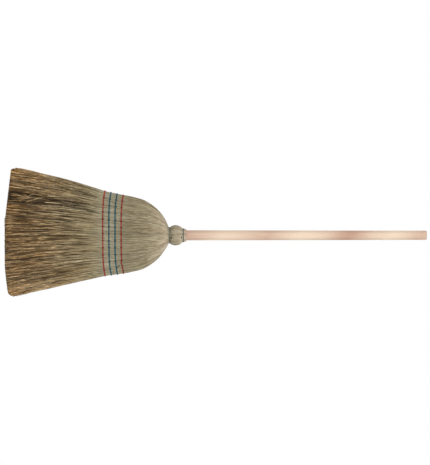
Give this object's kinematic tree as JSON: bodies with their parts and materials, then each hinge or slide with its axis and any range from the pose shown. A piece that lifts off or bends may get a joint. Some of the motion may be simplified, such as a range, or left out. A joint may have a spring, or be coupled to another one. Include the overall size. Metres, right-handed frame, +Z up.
{
  "type": "straw broom",
  "caption": "Upright household broom with a flat sewn head of natural straw, a wired round neck and a long round wooden handle.",
  "frame": {"origin": "on the floor under the middle of the sweeping edge, where the straw tips are cut flat", "axes": "+Z up along the handle, from the straw tips to the handle's free end; X across the wide head; the front face looks along -Y"},
  "size_m": [0.3979, 0.0624, 1.3],
  "materials": {
    "handle_wood": "satin",
    "straw": "matte",
    "red_twine": "matte",
    "teal_twine": "matte",
    "binding_wire": "satin",
    "nail_steel": "matte"
  },
  "bodies": {
    "root": {"handle": "handle_wood", "front_bundle_01": "straw", "front_bundle_02": "straw", "front_bundle_03": "straw", "front_bundle_04": "straw", "front_bundle_05": "straw", "front_bundle_06": "straw", "front_bundle_07": "straw", "front_bundle_08": "straw", "front_bundle_09": "straw", "front_bundle_10": "straw", "front_bundle_11": "straw", "front_bundle_12": "straw", "back_bundle_01": "straw", "back_bundle_02": "straw", "back_bundle_03": "straw", "back_bundle_04": "straw", "back_bundle_05": "straw", "back_bundle_06": "straw", "back_bundle_07": "straw", "back_bundle_08": "straw", "back_bundle_09": "straw", "back_bundle_10": "straw", "back_bundle_11": "straw", "back_bundle_12": "straw", "core_straw_left": "straw", "core_straw_right": "straw", "twine_outer_red": "red_twine", "twine_outer_teal": "teal_twine", "twine_inner_teal": "teal_twine", "twine_inner_red": "red_twine", "lower_wire": "binding_wire", "upper_wire": "binding_wire", "lower_nail": "nail_steel", "upper_nail": "nail_steel"}
  },
  "joints": []
}
